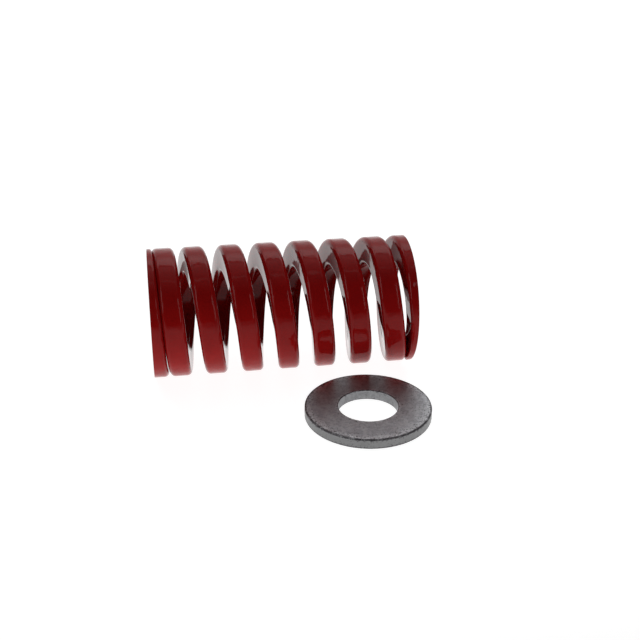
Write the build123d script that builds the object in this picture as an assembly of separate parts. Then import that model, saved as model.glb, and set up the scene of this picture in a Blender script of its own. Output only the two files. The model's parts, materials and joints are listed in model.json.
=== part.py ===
"""Die spring (a heavy compression spring of rectangular wire) and a loose flat washer.

Millimetres. X runs along the spring, +Z is up, and both pieces lie on the plane Z = 0.
The origin is at the bottom centre of the box that holds both pieces.

The spring is one wire. It is written as three solids that meet face to face, because its
two closed end coils stay rigid when it is compressed and only the coils between them close up.
"""
from build123d import *
from math import cos, pi, radians, sin
import os

# Spring: for a 3/4 in (19.05 mm) hole and a 10 mm or 3/8 in (9.53 mm) guide rod, 1 1/2 in long.
FREE_LENGTH = 38.1
OUTER_RADIUS = 9.45
INNER_RADIUS = 5.4
WIRE_HEIGHT = 3.13  # of the wire's section, across the turn; its width is between the radii
CORNER_RADIUS = 0.75  # of the wire's four long edges
TURNS = 8.53  # right-hand wound, from tip to tip
FIRST_TIP_ANGLE = -35.0  # degrees, from the top of the coil towards the front

# Each end is closed and ground flat: its pitch is low for some turns, then opens evenly.
# The wire starts with its centre outside the ground face, so grinding leaves a thin tip.
BASE_END = {"pitch": 3.25, "closed_turns": 1.35, "opened_turns": 1.72, "start_outside": 1.06}
FREE_END = {"pitch": 2.84, "closed_turns": 0.7, "opened_turns": 0.99, "start_outside": 0.97}
SWING = 0.42  # how much further the first open coil swings away from the free end coil
SWING_TURNS = 0.45  # of wire that it takes, from one turn past the free tip
BASE_COIL_TURNS = 1.34  # of wire that stay rigid with the base face
FREE_COIL_TURNS = 1.0  # of wire that stay rigid with the free face

# Washer: M8, medium series (8.4 x 18 x 1.5).
WASHER_RADIUS = 8.9
WASHER_HOLE_RADIUS = 4.2
WASHER_THICKNESS = 1.5
WASHER_RIM_EDGE = 0.2  # edges rolled over by the punch
WASHER_HOLE_EDGE = 0.1
WASHER_FROM_BASE = 29.28  # its centre from the spring's base face, along X
WASHER_IN_FRONT = 17.27  # its centre from the spring's axis, along -Y

# Frame: where the spring's axis, its base face and the washer stand.
DEPTH = OUTER_RADIUS + WASHER_IN_FRONT + WASHER_RADIUS
SPRING_Y = DEPTH / 2 - OUTER_RADIUS
WASHER_Y = SPRING_Y - WASHER_IN_FRONT
BASE_X = -FREE_LENGTH / 2
AXIS_Z = OUTER_RADIUS

POINTS_PER_TURN = 24
TANGENT_STEP = 0.0005  # turns
MIDDLE_RADIUS = (OUTER_RADIUS + INNER_RADIUS) / 2
GUIDE_RADIUS = 2 * OUTER_RADIUS  # of the outer helix that the section keeps facing
PROUD = 0.05  # the swept wire stands this far proud until it is cut to its two diameters


def turns_taken(end):
    """Turns of an end that count as closed, since its pitch opens evenly."""
    return (end["closed_turns"] + end["opened_turns"]) / 2


def open_pitch():
    """Pitch of the open coils: what the free length leaves after both ends."""
    travel = FREE_LENGTH + BASE_END["start_outside"] + FREE_END["start_outside"]
    closed_travel = sum(end["pitch"] * turns_taken(end) for end in (BASE_END, FREE_END))
    return (travel - closed_travel) / (TURNS - turns_taken(BASE_END) - turns_taken(FREE_END))


def inside_face(turn, end):
    """How far the wire's centre is inside an end's ground face, in turns from that end's tip."""
    opening_turns = end["opened_turns"] - end["closed_turns"]
    opening = min(max(turn - end["closed_turns"], 0), opening_turns)
    opened = max(turn - end["opened_turns"], 0)
    extra_pitch = open_pitch() - end["pitch"]
    gained = extra_pitch * (opening**2 / (2 * opening_turns) + opened)
    return end["pitch"] * turn + gained - end["start_outside"]


def swing(turn):
    """How far the first open coil swings away from the free end coil, in turns from the free tip."""
    through = min(max((turn - 1) / SWING_TURNS, 0), 1)
    return SWING * sin(pi * through) ** 2


def wire_point(turn, radius):
    """Point of the wire's middle helix, or of a helix beside it at another radius."""
    if turn < TURNS / 2:
        along = inside_face(turn, BASE_END)
    else:
        along = FREE_LENGTH - inside_face(TURNS - turn, FREE_END) - swing(TURNS - turn)
    angle = radians(FIRST_TIP_ANGLE) + 2 * pi * turn
    return Vector(BASE_X + along, SPRING_Y - radius * sin(angle), AXIS_Z + radius * cos(angle))


def wire_direction(turn, radius):
    """Unit tangent of the same helix."""
    ahead, behind = (wire_point(turn + step, radius) for step in (TANGENT_STEP, -TANGENT_STEP))
    return (ahead - behind).normalized()


def wire_section(turn):
    """The wire's rounded rectangle, square to the wire."""
    centre = wire_point(turn, MIDDLE_RADIUS)
    outward = wire_point(turn, OUTER_RADIUS) - centre
    tangent = wire_direction(turn, MIDDLE_RADIUS)
    plane = Plane(origin=centre, x_dir=outward.cross(tangent), z_dir=tangent)
    width = OUTER_RADIUS - INNER_RADIUS + 2 * PROUD
    return (plane * RectangleRounded(WIRE_HEIGHT, width, CORNER_RADIUS)).face()


def helix(start, end, radius):
    """A smooth curve along the wire, from one turn to another."""
    steps = round((end - start) * POINTS_PER_TURN)
    turns = [start + (end - start) * step / steps for step in range(steps + 1)]
    points = [wire_point(turn, radius) for turn in turns]
    ends = [wire_direction(turn, radius) for turn in (start, end)]
    return Edge.make_spline(points, tangents=ends, scale=False)


def tube(outer, inner, length):
    """A plain tube that stands on its own origin."""
    seated = (Align.CENTER, Align.CENTER, Align.MIN)
    return Cylinder(outer, length, align=seated) - Cylinder(inner, length, align=seated)


def wire(start, end):
    """The spring's wire between two places, counted in turns from the base end's tip."""
    path = helix(start, end, MIDDLE_RADIUS)
    swept = Solid.sweep(wire_section(start), path, mode=helix(start, end, GUIDE_RADIUS))
    axis = Plane(origin=(BASE_X, SPRING_Y, AXIS_Z), z_dir=(1, 0, 0))
    ground = axis * tube(OUTER_RADIUS, INNER_RADIUS, FREE_LENGTH)
    return (ground & swept).solid()


def flat_washer():
    """A punched ring with its edges rolled over."""
    ring = tube(WASHER_RADIUS, WASHER_HOLE_RADIUS, WASHER_THICKNESS)
    for radius, edge in ((WASHER_RADIUS, WASHER_RIM_EDGE), (WASHER_HOLE_RADIUS, WASHER_HOLE_EDGE)):
        circles = ring.edges().filter_by(GeomType.CIRCLE)
        ring = fillet(circles.filter_by(lambda circle: abs(circle.radius - radius) < edge / 2), edge)
    return (Pos(BASE_X + WASHER_FROM_BASE, WASHER_Y, 0) * ring).solid()


nodes = {
    "base_end_coil": wire(0, BASE_COIL_TURNS),
    "active_coils": wire(BASE_COIL_TURNS, TURNS - FREE_COIL_TURNS),
    "free_end_coil": wire(TURNS - FREE_COIL_TURNS, TURNS),
    "flat_washer": flat_washer(),
}

os.makedirs("parts", exist_ok=True)
for name, solid in nodes.items():
    solid.label = name
    export_step(solid, f"parts/{name}.step")
    print(f"{name}: {solid.volume:.1f} mm3")
print(f"pitch of the open coils: {open_pitch():.3f} mm")
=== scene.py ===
"""Looks of the die spring and the flat washer: meshes, materials, floor, light and camera."""
import json
from math import acos, atan2, cos, hypot, pi, radians, sin

import bpy
import numpy as np
from mathutils import Matrix, Vector, noise


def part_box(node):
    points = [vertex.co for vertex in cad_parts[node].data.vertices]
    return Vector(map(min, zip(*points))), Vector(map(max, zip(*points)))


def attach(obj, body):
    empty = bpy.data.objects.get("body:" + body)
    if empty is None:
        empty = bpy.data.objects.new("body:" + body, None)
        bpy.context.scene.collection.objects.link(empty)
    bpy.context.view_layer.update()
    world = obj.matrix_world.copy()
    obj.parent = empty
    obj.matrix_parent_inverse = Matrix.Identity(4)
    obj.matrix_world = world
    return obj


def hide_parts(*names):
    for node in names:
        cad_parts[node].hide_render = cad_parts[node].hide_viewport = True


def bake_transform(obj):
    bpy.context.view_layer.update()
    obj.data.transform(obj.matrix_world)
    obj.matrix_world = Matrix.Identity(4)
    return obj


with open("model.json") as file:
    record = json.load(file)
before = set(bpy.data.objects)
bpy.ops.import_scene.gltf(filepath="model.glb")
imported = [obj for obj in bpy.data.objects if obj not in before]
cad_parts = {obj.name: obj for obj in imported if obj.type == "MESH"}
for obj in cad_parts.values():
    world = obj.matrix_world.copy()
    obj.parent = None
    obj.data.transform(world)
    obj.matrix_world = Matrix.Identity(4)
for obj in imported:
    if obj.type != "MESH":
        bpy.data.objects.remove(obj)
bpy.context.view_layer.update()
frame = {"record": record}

MM = 0.001

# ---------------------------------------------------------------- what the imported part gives
mounts = {mount["name"]: mount for mount in frame["record"]["mounts"]}
coils_low, coils_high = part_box("active_coils")
AXIS_Y, AXIS_Z = (value / MM for value in mounts["spring_bore"]["pos_m"][1:])
INNER_RADIUS = mounts["spring_bore"]["dims"]["r_mm"]
OUTER_RADIUS = (coils_high.z - coils_low.z) / 2 / MM
BASE_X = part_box("base_end_coil")[0].x / MM
FREE_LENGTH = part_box("free_end_coil")[1].x / MM - BASE_X

# The wire, as the part's source writes it.
WIRE_HEIGHT = 3.13
CORNER_RADIUS = 0.75
TURNS = 8.53
FIRST_TIP_ANGLE = -35.0  # degrees, from the top of the coil towards the front
BASE_END = {"pitch": 3.25, "closed_turns": 1.35, "opened_turns": 1.72, "start_outside": 1.06}
FREE_END = {"pitch": 2.84, "closed_turns": 0.7, "opened_turns": 0.99, "start_outside": 0.97}
SWING, SWING_TURNS = 0.42, 0.45  # of the first open coil, away from the free end coil
BASE_COIL_TURNS = 1.34
FREE_COIL_TURNS = 1.0
MIDDLE_RADIUS = (OUTER_RADIUS + INNER_RADIUS) / 2

# How finely the wire is meshed.
STATIONS_PER_TURN = 128
CORNER_STEPS = 5
OUTSIDE_PARTS, FLANK_PARTS, BORE_PARTS = 10, 9, 7  # of the straight sides of its section
TURN_STEP = 0.001  # turns each way, to take the pitch at one place

# How the wire is finished.
MOST_ROUNDED = 0.45  # of what grinding leaves of the wire's height, at each edge
RIPPLE = 0.03  # depth of the paint's slow ripples
SKIN = 0.02  # how near a cylinder a point has to be to ripple
FILLED_GAP, OPEN_GAP = 0.115, 0.14  # between closed turns: paint fills the first, not the second
EDGE_BEVEL = 0.13  # of the edges that grinding leaves sharp, deburred before painting
LEAST_EDGE = 2.5 * EDGE_BEVEL  # how far a ground edge's points reach along the cylinder, at least
ROLLED_EDGE = (0.0, 0.1, 0.3, 0.7, 0.9, 0.7, 0.3, 0.0)  # how exposed an edge is, from its flank
GROUND_EDGE = (0.5, 1.0, 1.0, 0.6, 0.3, 0.1, 0.0, 0.0)

# The washer: its rolled edges are as the part's source writes them.
WASHER_RIM_EDGE, WASHER_HOLE_EDGE = 0.2, 0.1
WASHER_STATIONS = 384  # round it
EDGE_STEPS = 6
FLAT_PARTS, WALL_PARTS = 30, 6  # of the straight sides of its section
RIM_BAND, HOLE_BAND, WALL_BAND = 1.5, 0.5, 0.3  # width of the worn bands beside its edges
MOST_WORN = 0.8  # in those bands, where 1 is an edge
DENT, WORN_DENT = 0.008, 0.03  # depth, everywhere and where the washer is worn
ON_FACE = 0.01  # how near the rim or the hole a point has to be to count as on it

# The studio.
FLOOR_IN_FRONT, FLOOR_BEHIND = 0.3, 0.96  # how bright the floor is
ROOM_GLOW = 0.03
TENT_FOOT, TENT_BACK, TENT_PANEL, TENT_ROOF, TENT_SLIT = 1.1, 0.76, 2.0, 0.86, 0.85  # brightness
ROOF_FROM, ROOF_TO, ROOF_FADE = 70, 136, 1.7  # degrees where its fading starts and ends, and a power
SEAM_SHADE = 0.45  # share of the roof's brightness that the seam takes
STRIP_HEIGHT, STRIP_DISTANCE = 0.36, 0.5  # metres
STRIP_ELEVATION = 28  # degrees
STRIP_GLOW = 2.2


# ---------------------------------------------------------------- the spring's wire
def turns_taken(end):
    """Turns of an end that count as closed, since its pitch opens evenly."""
    return (end["closed_turns"] + end["opened_turns"]) / 2


def open_pitch():
    """Pitch of the open coils: what the free length leaves after both ends."""
    travel = FREE_LENGTH + BASE_END["start_outside"] + FREE_END["start_outside"]
    closed_travel = sum(end["pitch"] * turns_taken(end) for end in (BASE_END, FREE_END))
    return (travel - closed_travel) / (TURNS - turns_taken(BASE_END) - turns_taken(FREE_END))


def inside_face(turn, end):
    """How far the wire's centre is inside an end's ground face, in turns from that end's tip."""
    opening_turns = end["opened_turns"] - end["closed_turns"]
    opening = min(max(turn - end["closed_turns"], 0), opening_turns)
    opened = max(turn - end["opened_turns"], 0)
    extra_pitch = open_pitch() - end["pitch"]
    gained = extra_pitch * (opening**2 / (2 * opening_turns) + opened)
    return end["pitch"] * turn + gained - end["start_outside"]


def along(turn):
    """The wire's centre along X, from the base face."""
    if turn < TURNS / 2:
        return inside_face(turn, BASE_END)
    from_free = TURNS - turn
    through = min(max((from_free - 1) / SWING_TURNS, 0), 1)
    return FREE_LENGTH - inside_face(from_free, FREE_END) - SWING * sin(pi * through) ** 2


def half_height(turn, radius):
    """Half of the wire's height along X, at a radius: it leans by the helix angle."""
    pitch = (along(turn + TURN_STEP) - along(turn - TURN_STEP)) / (2 * TURN_STEP)
    lean = atan2(pitch, 2 * pi * MIDDLE_RADIUS)
    return WIRE_HEIGHT / 2 * (cos(lean) + pitch / (2 * pi * radius) * sin(lean))


def paint_fill(turn, side):
    """How far paint stands out from the wire's flank, where the closed turn beside it is so near
    that the paint fills the gap between them. side is -1 towards the base, 1 towards the free end."""
    first = turn if side > 0 else turn - 1
    if first < 0 or first + 1 > TURNS:
        return 0.0
    gap = along(first + 1) - along(first)
    gap -= half_height(first, MIDDLE_RADIUS) + half_height(first + 1, MIDDLE_RADIUS)
    return gap / 2 * min(max((OPEN_GAP - gap) / (OPEN_GAP - FILLED_GAP), 0), 1)


def corner(depth, radius):
    """Points round one long edge of the wire, from its flank to its cylinder, as (axial, radial)
    distances inside the flank and the cylinder before grinding. depth is ground off the flank."""
    start = acos(max(1 - depth / radius, 0))
    arc = radius * (pi / 2 - start)
    cut = radius * (1 - sin(start))
    end = max(radius, depth + LEAST_EDGE)
    top = max(depth, radius)

    def at(length):
        if length < arc:
            angle = start + length / radius
            return radius * (1 - cos(angle)), radius * (1 - sin(angle))
        return top + length - arc, 0.0

    total = arc + end - top
    first = min(EDGE_BEVEL, total / 3)
    flank, sharp, after = (depth, cut + EDGE_BEVEL), (depth, cut), at(first)
    deburred = tuple(0.25 * a + 0.5 * b + 0.25 * c for a, b, c in zip(flank, sharp, after))
    rest = [at(first + (total - first) * step / CORNER_STEPS) for step in range(1, CORNER_STEPS + 1)]
    return [flank, deburred, after, *rest]


def between(first, last, parts):
    """Points that divide a straight run into equal parts, without its ends."""
    return [tuple(a + (b - a) * step / parts for a, b in zip(first, last)) for step in range(1, parts)]


def ring(turn):
    """The wire's outline in the half plane through the axis at one turn, as (x, radius), and each
    point's finish and painted shade: how worn it is, how far inside the coil (0 to 1, which sets
    how much painted shade it takes) and whether it is ground."""
    corners, ground = [], []
    centre = along(turn)
    for radius, inward in ((OUTER_RADIUS, -1), (INNER_RADIUS, 1)):
        halves = [half_height(turn, radius) + paint_fill(turn, side) for side in (-1, 1)]
        depths = (halves[0] - centre, centre + halves[1] - FREE_LENGTH)
        left = sum(halves) - max(depths[0], 0) - max(depths[1], 0)
        rounding = min(CORNER_RADIUS, MOST_ROUNDED * left)
        for side, half, depth in zip((-1, 1), halves, depths):
            corners.append([(centre + side * (half - from_flank), radius + inward * from_cylinder)
                            for from_flank, from_cylinder in corner(max(depth, 0), rounding)])
            ground.append(depth > 0)
    outer_base, outer_free, inner_base, inner_free = corners
    outside = between(outer_base[-1], outer_free[-1], OUTSIDE_PARTS)
    free_flank = between(outer_free[0], inner_free[0], FLANK_PARTS)
    bore = between(inner_free[-1], inner_base[-1], BORE_PARTS)
    base_flank = between(inner_base[0], outer_base[0], FLANK_PARTS)
    # the fifth and sixth values say how far inside the coil a point is, which sets its painted shade
    runs = (
        (outer_base, outside, ground[0], False, 0, 0),
        (outer_free[::-1], free_flank, ground[1], ground[1], 0, 0.5),
        (inner_free, bore, ground[3], False, 1, 1),
        (inner_base[::-1], base_flank, ground[2], ground[2], 1, 0.5),
    )
    points, finish = [], []
    for i, (edge, run, edge_ground, run_ground, edge_inside, run_inside) in enumerate(runs):
        exposed = GROUND_EDGE if edge_ground else ROLLED_EDGE
        for point, wear in zip(edge, exposed[::-1] if i % 2 else exposed):
            points.append(point)
            finish.append((wear, edge_inside, edge_ground))
        points += run
        finish += [(0, run_inside, run_ground)] * len(run)
    return points, finish


def inset(points, distance):
    """The outline moved inwards, for the bevel of a cut end."""
    moved = []
    for i, (x, r) in enumerate(points):
        before, after = points[i - 1], points[(i + 1) % len(points)]
        dx, dr = after[0] - before[0], after[1] - before[1]
        length = hypot(dx, dr)
        moved.append((x + distance * dr / length, r - distance * dx / length))
    return moved


def place(turn, x, radius):
    """A point in the shared frame, in metres. x is from the base face and radius from the axis."""
    angle = radians(FIRST_TIP_ANGLE) + 2 * pi * turn
    y, z = AXIS_Y - radius * sin(angle), AXIS_Z + radius * cos(angle)
    return Vector(((BASE_X + x) * MM, y * MM, z * MM))


def closing(turn):
    """Share of the spring's travel that this turn of the wire makes: the end coils are rigid, and
    the open coils close up in step with their gaps."""
    first, last = BASE_COIL_TURNS, TURNS - FREE_COIL_TURNS
    gaps = [along(t) - BASE_END["pitch"] * t for t in (first, min(max(turn, first), last), last)]
    return (gaps[1] - gaps[0]) / (gaps[2] - gaps[0])


def ripple(spot):
    """Height of the paint's slow ripples at a place, mostly from 0 to 1."""
    return noise.noise(spot * 0.3) * 0.4 + noise.noise(spot * 0.8) * 0.5 + 0.5


def die_spring():
    """The whole wire as one mesh, with its points' finish and painted shade, and their share of the
    travel.
    """
    steps = round(TURNS * STATIONS_PER_TURN)
    tip = EDGE_BEVEL / (2 * pi * MIDDLE_RADIUS)
    turns = [0, tip, *[TURNS * step / steps for step in range(1, steps)], TURNS - tip, TURNS]
    verts, finish, share = [], [], []
    for turn in turns:
        points, ring_finish_and_shade = ring(turn)
        if turn in (0, TURNS):
            points = inset(points, EDGE_BEVEL)
            ring_finish_and_shade = [(1, inside, ground) for _, inside, ground in ring_finish_and_shade]
        for x, radius in points:
            height = ripple(place(turn, x, radius) / MM)
            on_outside, on_inside = OUTER_RADIUS - radius < SKIN, radius - INNER_RADIUS < SKIN
            verts.append(place(turn, x, radius - RIPPLE * height * (on_outside - on_inside)))
        finish += ring_finish_and_shade
        share += [closing(turn)] * len(points)
    count = len(points)
    faces = []
    for i in range(len(turns) - 1):
        for j in range(count):
            k = (j + 1) % count
            faces.append((i * count + j, (i + 1) * count + j, (i + 1) * count + k, i * count + k))
    last = (len(turns) - 1) * count
    faces.append(tuple(range(count)))
    faces.append(tuple(reversed(range(last, last + count))))
    return verts, faces, finish, share


def new_piece(name, verts, faces, material, finish):
    """A smooth mesh object that knows its rest positions, and its finish and painted shade."""
    mesh = bpy.data.meshes.new(name)
    mesh.from_pydata(verts, [], faces)
    mesh.update()
    mesh.polygons.foreach_set("use_smooth", [True] * len(mesh.polygons))
    for attribute, values in (("rest_place", np.array(verts) / MM), ("finish", np.array(finish))):
        stored = mesh.attributes.new(attribute, "FLOAT_VECTOR", "POINT")
        stored.data.foreach_set("vector", values.astype(np.float32).ravel())
    mesh.materials.append(material)
    piece = bpy.data.objects.new(name, mesh)
    bpy.context.collection.objects.link(piece)
    weighted = piece.modifiers.new("weighted normals", "WEIGHTED_NORMAL")
    weighted.keep_sharp = True
    return piece


# ---------------------------------------------------------------- the washer
def flat_washer(material):
    """The punched ring turned from its profile, with rolled edges and small dents. Each point carries
    how worn it is, and how much painted shade it takes on the upright rim and in the hole."""
    low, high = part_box("flat_washer")
    centre = (low + high) / 2 / MM
    rim = (high.x - low.x) / 2 / MM
    hole = mounts["washer_hole"]["dims"]["r_mm"]
    thick = (high.z - low.z) / MM
    rim_edge, hole_edge = WASHER_RIM_EDGE, WASHER_HOLE_EDGE
    profile, exposed = [], []

    def edge(radius, z, size, start):
        """A rolled edge as a quarter circle round (radius, z), from an angle in quarter turns."""
        for step in range(EDGE_STEPS + 1):
            angle = (start + step / EDGE_STEPS) * pi / 2
            profile.append((radius + size * cos(angle), z + size * sin(angle)))
            exposed.append(1.0)

    def run(first, last, parts, bands):
        """A straight run, worn in a band beside each of its ends. bands are the two widths."""
        points = between(first, last, parts)
        profile.extend(points)
        for x, z in points:
            ends = [hypot(x - a, z - b) / wide for (a, b), wide in zip((first, last), bands)]
            exposed.append(MOST_WORN * max(1 - min(ends), 0))

    edge(rim - rim_edge, rim_edge, rim_edge, 3)
    run((rim, rim_edge), (rim, thick - rim_edge), WALL_PARTS, (WALL_BAND, WALL_BAND))
    edge(rim - rim_edge, thick - rim_edge, rim_edge, 0)
    run((rim - rim_edge, thick), (hole + hole_edge, thick), FLAT_PARTS, (RIM_BAND, HOLE_BAND))
    edge(hole + hole_edge, thick - hole_edge, hole_edge, 1)
    run((hole, thick - hole_edge), (hole, hole_edge), WALL_PARTS, (WALL_BAND, WALL_BAND))
    edge(hole + hole_edge, hole_edge, hole_edge, 2)
    run((hole + hole_edge, 0), (rim - rim_edge, 0), FLAT_PARTS, (HOLE_BAND, RIM_BAND))

    around, count = WASHER_STATIONS, len(profile)
    verts, finish, faces = [], [], []
    for step in range(around):
        angle = 2 * pi * step / around
        for (radius, z), wear in zip(profile, exposed):
            spot = Vector((radius * cos(angle), radius * sin(angle), z))
            dent = DENT * (noise.noise(spot * 0.9) + 1)
            dent += wear * WORN_DENT * max(noise.noise(spot * 2.1), 0)
            dented = min(max(z, dent), thick - dent)
            narrowed = min(max(radius, hole + dent), rim - dent)
            verts.append((centre + Vector((narrowed * cos(angle), narrowed * sin(angle),
                                           dented - thick / 2))) * MM)
            on_rim, in_hole = rim - radius < ON_FACE, radius - hole < ON_FACE
            # the second value is how much painted shade the point takes: all of it on the rim, half in
            # the hole
            finish.append((wear, on_rim + 0.5 * in_hole, 0))
    for i in range(around):
        n = (i + 1) % around
        for j in range(count):
            k = (j + 1) % count
            faces.append((i * count + j, n * count + j, n * count + k, i * count + k))
    return new_piece("flat_washer_steel", verts, faces, material, finish)


# ---------------------------------------------------------------- materials
class Nodes:
    """The node tree of a material or a world, with short ways to add and join nodes."""

    def __init__(self, owner):
        owner.use_nodes = True
        self.owner, self.tree = owner, owner.node_tree

    def add(self, kind, inputs=(), **settings):
        node = self.tree.nodes.new("ShaderNode" + kind)
        for key, value in settings.items():
            setattr(node, key, value)
        for key, value in dict(inputs).items():
            self.put(node.inputs[key], value)
        return node

    def put(self, socket, value):
        if isinstance(value, bpy.types.NodeSocket):
            self.tree.links.new(value, socket)
        else:
            socket.default_value = value

    def attribute(self, name, output):
        return self.add("Attribute", attribute_name=name).outputs[output]

    def noise(self, vector, scale, detail=3.0, roughness=0.55, distortion=0.0):
        node = self.add("TexNoise", {"Vector": vector, "Scale": scale, "Detail": detail,
                                     "Roughness": roughness, "Distortion": distortion})
        return node.outputs["Fac"]

    def remap(self, value, low, high, to_low=0.0, to_high=1.0):
        node = self.add("MapRange", {"Value": value, "From Min": low, "From Max": high,
                                     "To Min": to_low, "To Max": to_high})
        return node.outputs["Result"]

    def math(self, operation, first, second):
        return self.add("Math", {0: first, 1: second}, operation=operation).outputs["Value"]

    def mix(self, factor, first, second):
        node = self.add("Mix", data_type="RGBA")
        self.put(node.inputs["Factor"], factor)
        self.put(node.inputs[6], first)
        self.put(node.inputs[7], second)
        return node.outputs[2]

    def bump(self, height, strength, distance, normal=None):
        node = self.add("Bump", {"Height": height, "Strength": strength, "Distance": distance})
        if normal is not None:
            self.put(node.inputs["Normal"], normal)
        return node.outputs["Normal"]

    def shade(self, **values):
        """Sets the material's own shader, and returns the material."""
        shader = self.tree.nodes["Principled BSDF"]
        for key, value in values.items():
            self.put(shader.inputs[key.replace("_", " ")], value)
        return self.owner


def new_material(name):
    """A new material's node tree."""
    return Nodes(bpy.data.materials.new(name))


def red_enamel():
    """Gloss red enamel: slightly rippled, with painted shade inside the coil, and thin on the exposed
    edges.
    """
    nodes = new_material("red_enamel")
    rest = nodes.attribute("rest_place", "Vector")
    exposed, inside, ground = nodes.add("SeparateXYZ", {0: nodes.attribute("finish", "Vector")}).outputs
    broad, fine = nodes.noise(rest, 0.35), nodes.noise(rest, 6.0, 4)
    tone = nodes.mix(nodes.remap(broad, 0.3, 0.7), (0.32, 0.005, 0.005, 1), (0.37, 0.0065, 0.006, 1))
    tone = nodes.mix(nodes.remap(fine, 0.45, 0.75, 0, 0.35), tone, (0.29, 0.0045, 0.0045, 1))
    # painted shade: the enamel is darkened inside the coil, where the bore lies in shade
    tone = nodes.mix(nodes.math("MULTIPLY", inside, 0.55), tone, (0.14, 0.002, 0.002, 1))
    thin = nodes.remap(nodes.math("MULTIPLY", exposed, nodes.noise(rest, 1.6, 4)), 0.48, 0.68)
    colour = nodes.mix(nodes.math("MULTIPLY", thin, 0.5), tone, (0.42, 0.05, 0.045, 1))
    lines = nodes.add("VectorMath", {0: rest, 1: (1.0, 0.5, 9.0)}, operation="MULTIPLY").outputs[0]
    marks = nodes.math("MULTIPLY", nodes.noise(lines, 1.0, 2), ground)
    peel = nodes.bump(nodes.noise(rest, 0.9, 1), nodes.remap(inside, 0, 0.5, 0.65, 0.1), 0.00005)
    peel = nodes.bump(nodes.noise(rest, 7.0, 2), 0.03, 0.00001, peel)
    peel = nodes.bump(marks, 0.25, 0.00003, peel)
    roughness = nodes.remap(nodes.noise(rest, 2.2, 3), 0.3, 0.7, 0.01, 0.03)
    roughness = nodes.math("ADD", roughness, nodes.math("MULTIPLY", thin, 0.15))
    return nodes.shade(Base_Color=colour, Roughness=roughness, Normal=peel,
                       Specular_IOR_Level=0.5, IOR=1.228)


def washer_steel():
    """Plain steel, dull and handled: mottled and speckled, rubbed bright beside its edges, and with
    painted shade on its upright rim and in its hole."""
    nodes = new_material("washer_steel")
    rest = nodes.attribute("rest_place", "Vector")
    exposed, upright, _ = nodes.add("SeparateXYZ", {0: nodes.attribute("finish", "Vector")}).outputs
    clouds, mottle = nodes.noise(rest, 0.45, 5, 0.6, 0.6), nodes.noise(rest, 2.4, 6, 0.7)
    tone = nodes.mix(nodes.remap(clouds, 0.3, 0.7), (0.255, 0.255, 0.27, 1), (0.38, 0.385, 0.40, 1))
    tone = nodes.mix(nodes.remap(mottle, 0.42, 0.62, 0, 0.6), tone, (0.165, 0.163, 0.172, 1))
    band = nodes.remap(nodes.math("MULTIPLY", exposed, nodes.noise(rest, 1.1, 4, 0.6)), 0.12, 0.36)
    tone = nodes.mix(nodes.math("MULTIPLY", band, 0.7), tone, (0.52, 0.525, 0.545, 1))
    # painted shade: the upright rim and hole wall are darkened to stand in for their shade
    tone = nodes.mix(nodes.math("MULTIPLY", upright, 0.85), tone, (0.21, 0.21, 0.21, 1))
    pits = nodes.math("ADD", nodes.noise(rest, 4.5, 3, 0.6), nodes.math("MULTIPLY", exposed, 0.16))
    pits = nodes.remap(pits, 0.62, 0.69)
    tone = nodes.mix(nodes.math("MULTIPLY", pits, 0.85), tone, (0.07, 0.065, 0.07, 1))
    line = nodes.remap(exposed, 0.82, 0.98)
    line = nodes.math("MULTIPLY", line, nodes.remap(nodes.noise(rest, 0.8, 4), 0.40, 0.55, 0.45, 0.95))
    tone = nodes.mix(line, tone, (0.06, 0.055, 0.06, 1))
    roughness = nodes.remap(nodes.noise(rest, 1.4, 5), 0.3, 0.7, 0.33, 0.48)
    grain = nodes.bump(nodes.noise(rest, 3.0, 5, 0.65), 0.8, 0.00003)
    grain = nodes.bump(nodes.noise(rest, 9.0, 3), 0.8, 0.00001, grain)
    grain = nodes.bump(pits, -0.4, 0.00003, grain)
    return nodes.shade(Base_Color=tone, Metallic=0.85, Roughness=roughness, Normal=grain)


# ---------------------------------------------------------------- the two pieces
verts, faces, finish, share = die_spring()
spring = new_piece("die_spring", verts, faces, red_enamel(), finish)
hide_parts("base_end_coil", "active_coils", "free_end_coil")
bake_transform(spring)

washer = flat_washer(washer_steel())
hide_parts("flat_washer")
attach(washer, "washer")


# ---------------------------------------------------------------- floor, light and camera
def floor():
    """A pale sheet whose glow fades in front of the object."""
    nodes = new_material("white_paper")
    position = nodes.add("NewGeometry").outputs["Position"]
    grain = nodes.noise(position, 900.0, 3)
    tone = nodes.mix(grain, (0.24, 0.24, 0.24, 1), (0.27, 0.27, 0.27, 1))
    depth = nodes.add("SeparateXYZ", {0: position}).outputs["Y"]
    glow = nodes.remap(depth, -0.16, -0.045, FLOOR_IN_FRONT, FLOOR_BEHIND)
    paper = nodes.shade(Base_Color=tone, Roughness=0.9, Specular_IOR_Level=0.1,
                        Emission_Color=(1, 1, 1, 1), Emission_Strength=glow,
                        Normal=nodes.bump(grain, 0.05, 0.00002))
    bpy.ops.mesh.primitive_plane_add(size=6)
    sheet = bpy.context.object
    sheet.name = "paper_floor"
    sheet.data.materials.append(paper)


def rise(value, start, end):
    """Climbs smoothly from 0 to 1 between two values."""
    through = np.clip((value - start) / (end - start), 0, 1)
    return through**2 * (3 - 2 * through)


def tent_glow(elevation):
    """How bright the tent is at an elevation, in degrees from the horizon behind over the top. It has
    a pale back, a bright panel with a soft lower edge and a dark seam along its top, and a roof that
    fades out to the front, with a narrow slit."""
    back = TENT_FOOT + (TENT_BACK - TENT_FOOT) * rise(elevation, -3, 18)
    panel = back + (TENT_PANEL - back) * rise(elevation, 34, 53)
    left = np.clip((ROOF_TO - elevation) / (ROOF_TO - ROOF_FROM), 0, 1)
    seam = SEAM_SHADE * (1 - rise(elevation, 65.5, 67.5))
    roof = TENT_ROOF * left**ROOF_FADE * (1 - seam)
    slit = TENT_SLIT * rise(elevation, 97, 98) * (1 - rise(elevation, 100, 101))
    return np.maximum(panel + (roof - panel) * rise(elevation, 62, 64), slit)


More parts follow.
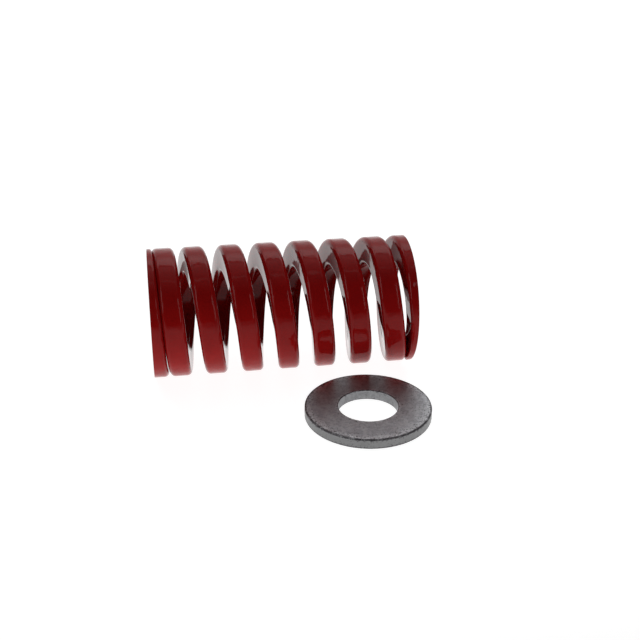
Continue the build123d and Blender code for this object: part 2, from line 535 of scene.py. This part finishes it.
def light_tent():
    """A glowing sheet that curves from behind the spring up and over it."""
    radius, half_width = 0.6, 0.45
    lowest, highest, step = -3, 128, 0.5
    nodes = new_material("tent_cloth")
    weave = nodes.noise(nodes.add("NewGeometry").outputs["Position"], 12.0, 2)
    shine = nodes.math("MULTIPLY", nodes.attribute("glow", "Fac"), nodes.remap(weave, 0, 1, 0.94, 1.06))
    cloth = nodes.shade(Base_Color=(0.0, 0.0, 0.0, 1), Roughness=1.0, Specular_IOR_Level=0.0,
                        Emission_Color=(1, 1, 1, 1), Emission_Strength=shine)
    elevations = np.arange(lowest, highest + step, step)
    verts = []
    for elevation in np.radians(elevations):
        y, z = AXIS_Y * MM + radius * cos(elevation), AXIS_Z * MM + radius * sin(elevation)
        verts += [(-half_width, y, z), (half_width, y, z)]
    faces = [(2 * i, 2 * i + 1, 2 * i + 3, 2 * i + 2) for i in range(len(elevations) - 1)]
    mesh = bpy.data.meshes.new("light_tent")
    mesh.from_pydata(verts, [], faces)
    levels = mesh.attributes.new("glow", "FLOAT", "POINT")
    levels.data.foreach_set("value", np.repeat(tent_glow(elevations), 2).astype(np.float32))
    mesh.materials.append(cloth)
    tent = bpy.data.objects.new("light_tent", mesh)
    bpy.context.collection.objects.link(tent)


def side_light(name, azimuth, width):
    """A strip light in front, at an azimuth in degrees from -Y towards +X. It gives no diffuse
    light, and shows only in reflections, as a line along the rounded edges."""
    light = bpy.data.lights.new(name, "AREA")
    light.shape = "RECTANGLE"
    light.size, light.size_y = width, STRIP_HEIGHT
    light.energy = STRIP_GLOW * pi * light.size * light.size_y
    lamp = bpy.data.objects.new(name, light)
    across, up = radians(azimuth), radians(STRIP_ELEVATION)
    towards = Vector((sin(across) * cos(up), -cos(across) * cos(up), sin(up)))
    lamp.location = Vector((0, AXIS_Y * MM, 0)) + towards * STRIP_DISTANCE
    lamp.rotation_mode = "QUATERNION"
    lamp.rotation_quaternion = towards.to_track_quat("Z", "Y")
    lamp.visible_diffuse = False
    bpy.context.collection.objects.link(lamp)


def studio_world():
    """A dark room whose horizon carries on the floor: dimmer in front, bright beside and behind."""
    world = bpy.data.worlds.new("studio")
    nodes = Nodes(world)
    direction = nodes.add("SeparateXYZ", {0: nodes.add("TexCoord").outputs["Generated"]}).outputs
    horizon = nodes.remap(direction["Y"], -0.7, 0.0, FLOOR_IN_FRONT, FLOOR_BEHIND)
    level = nodes.remap(direction["Z"], 0.014, 0.03, horizon, ROOM_GLOW)
    nodes.put(nodes.tree.nodes["Background"].inputs["Color"], level)
    bpy.context.scene.world = world


def camera(seen_from, turn, tilt, roll, lens):
    """A camera with a 36 mm sensor, seen_from in millimetres in the shared frame. It turns to the
    right of +Y, tilts below the horizon and rolls, in degrees."""
    data = bpy.data.cameras.new("camera")
    data.lens, data.sensor_width = lens, 36
    data.clip_start, data.clip_end = 0.01, 10
    eye = bpy.data.objects.new("camera", data)
    spin = Matrix.Rotation(-radians(turn), 3, "Z") @ Matrix.Rotation(radians(90 - tilt), 3, "X")
    spin = spin @ Matrix.Rotation(-radians(roll), 3, "Z")
    eye.matrix_world = Matrix.Translation(Vector(seen_from) * MM) @ spin.to_4x4()
    bpy.context.collection.objects.link(eye)
    bpy.context.scene.camera = eye


floor()
light_tent()
side_light("left_strip", azimuth=-66, width=0.18)
side_light("right_strip", azimuth=32, width=0.14)
studio_world()
bpy.context.scene.view_settings.view_transform = "Standard"

# The place, the angles and the lens were fitted to the photograph.
camera(seen_from=(BASE_X + 1.77, AXIS_Y - 150.41, 82.82), turn=8.82, tilt=26.615, roll=-0.222, lens=63.63)
